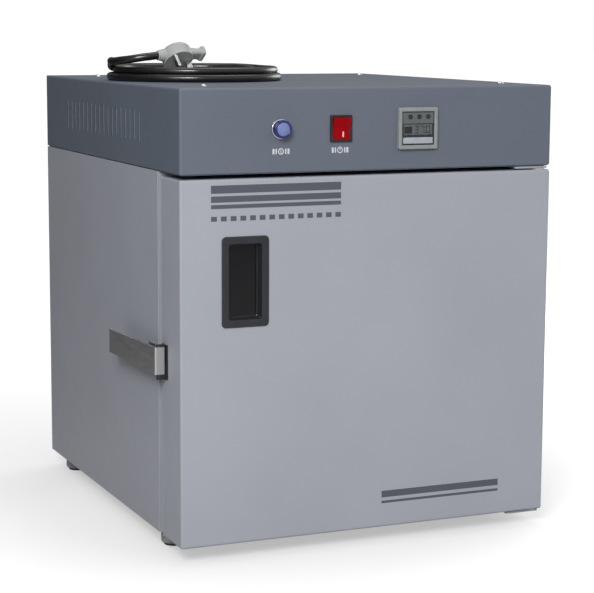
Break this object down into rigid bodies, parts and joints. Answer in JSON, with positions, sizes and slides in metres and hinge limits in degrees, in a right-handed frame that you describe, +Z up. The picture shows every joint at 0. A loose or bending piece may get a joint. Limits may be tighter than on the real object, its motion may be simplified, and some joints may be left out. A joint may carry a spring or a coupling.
{
  "type": "laboratory incubator",
  "caption": "Bench-top insulated cabinet with a side-hinged door, small window, latch lever, control housing with temperature controller, switch and push button, and a coiled mains lead on top.",
  "frame": {"origin": "on the floor under the middle of the body's box, with the latch lever and the push button and without the mains lead and plug", "axes": "+Z up, the door and the controls face -Y, +X to the right seen from the front"},
  "size_m": [0.493, 0.6099, 0.5865],
  "materials": {
    "body_paint": "light grey powder coat",
    "housing_paint": "dark blue-grey powder coat",
    "stainless": "brushed stainless sheet and wire",
    "lever_steel": "polished strap",
    "screw_metal": "bright plated",
    "black_plastic": "moulded black",
    "window_plastic": "moulded, slightly glossy",
    "glass": "tinted pane",
    "rubber": "black elastomer",
    "foot_plastic": "grey moulded foot",
    "mineral_wool": "fibrous slab",
    "heater_sheath": "heat-tinted tube",
    "bezel_plastic": "grey-green moulded",
    "face_plastic": "dark inner plate",
    "display": "dark display window",
    "white_strip": "blank strip",
    "key_plastic": "dark keys",
    "rocker_red": "translucent red",
    "button_blue": "dark blue cap",
    "lens_blue": "light blue lens",
    "component_plastic": "electrical plastic",
    "relay_black": "relay case",
    "bush_plastic": "acetal",
    "cord_rubber": "glossy black sheath",
    "plug_plastic": "light grey moulded",
    "pin_metal": "plated pins"
  },
  "bodies": {
    "cabinet": {"left_side_panel": "body_paint", "right_side_panel": "body_paint", "back_panel": "body_paint", "base_pan": "body_paint", "roof_panel": "body_paint", "front_frame": "body_paint", "chamber_liner": "stainless", "cabinet_insulation": "mineral_wool", "shelf_rails": "stainless", "lower_shelf": "stainless", "upper_shelf": "stainless", "heater_element": "heater_sheath", "heater_cover": "stainless", "temperature_probe": "stainless", "feet": "foot_plastic", "foot_pads": "rubber", "control_tray": "housing_paint", "control_cover": "housing_paint", "control_back": "housing_paint", "cover_posts": "stainless", "cover_screws": "screw_metal", "terminal_block": "component_plastic", "heater_relay": "relay_black", "safety_thermostat": "component_plastic", "controller_case": "black_plastic", "controller_bezel": "bezel_plastic", "controller_face": "face_plastic", "controller_display": "display", "controller_strip": "white_strip", "switch_housing": "black_plastic", "button_bezel": "screw_metal", "button_nut": "screw_metal", "button_spring": "stainless", "top_hinge_bracket": "body_paint", "bottom_hinge_bracket": "body_paint", "strike_plate": "stainless", "cord_gland": "black_plastic", "cord_lead": "cord_rubber", "cord_coil": "cord_rubber", "cord_tail": "cord_rubber", "plug_body": "plug_plastic", "plug_pins": "pin_metal"},
    "door": {"door_skin": "body_paint", "door_liner": "body_paint", "door_insulation": "mineral_wool", "door_gasket": "rubber", "hinge_bushes": "bush_plastic", "window_frame": "window_plastic", "outer_glass": "glass", "window_duct": "stainless", "inner_glass": "glass", "inner_window_trim": "window_plastic", "latch_bracket": "black_plastic"},
    "latch": {"latch_lever": "lever_steel"},
    "rocker": {"switch_rocker": "rocker_red"},
    "button": {"push_button": "button_blue", "button_lens": "lens_blue"},
    "left_key_body": {"left_key": "key_plastic"},
    "middle_key_body": {"middle_key": "key_plastic"},
    "right_key_body": {"right_key": "key_plastic"}
  },
  "joints": [
    {"name": "door_swing", "type": "hinge", "parent": "cabinet", "child": "door", "pos_m": [0.2345, -0.2468, 0.0203], "axis": [0, 0, 1], "range_deg": [0, 115]},
    {"name": "latch_turn", "type": "hinge", "parent": "door", "child": "latch", "pos_m": [-0.2317, -0.2098, 0.23], "axis": [0, 0, 1], "range_deg": [0, 45]},
    {"name": "rocker_tilt", "type": "hinge", "parent": "cabinet", "child": "rocker", "pos_m": [-0.0298, -0.2579, 0.4913], "axis": [-1, 0, 0], "range_deg": [0, 18]},
    {"name": "button_press", "type": "slide", "parent": "cabinet", "child": "button", "axis": [0, 1, 0], "range_m": [0, 0.003], "stiffness_N_per_m": 600, "springref_m": -0.001},
    {"name": "left_key_press", "type": "slide", "parent": "cabinet", "child": "left_key_body", "axis": [0, 1, 0], "range_m": [0, 0.0007], "stiffness_N_per_m": 800, "springref_m": -0.0003},
    {"name": "middle_key_press", "type": "slide", "parent": "cabinet", "child": "middle_key_body", "axis": [0, 1, 0], "range_m": [0, 0.0007], "stiffness_N_per_m": 800, "springref_m": -0.0003},
    {"name": "right_key_press", "type": "slide", "parent": "cabinet", "child": "right_key_body", "axis": [0, 1, 0], "range_m": [0, 0.0007], "stiffness_N_per_m": 800, "springref_m": -0.0003}
  ]
}
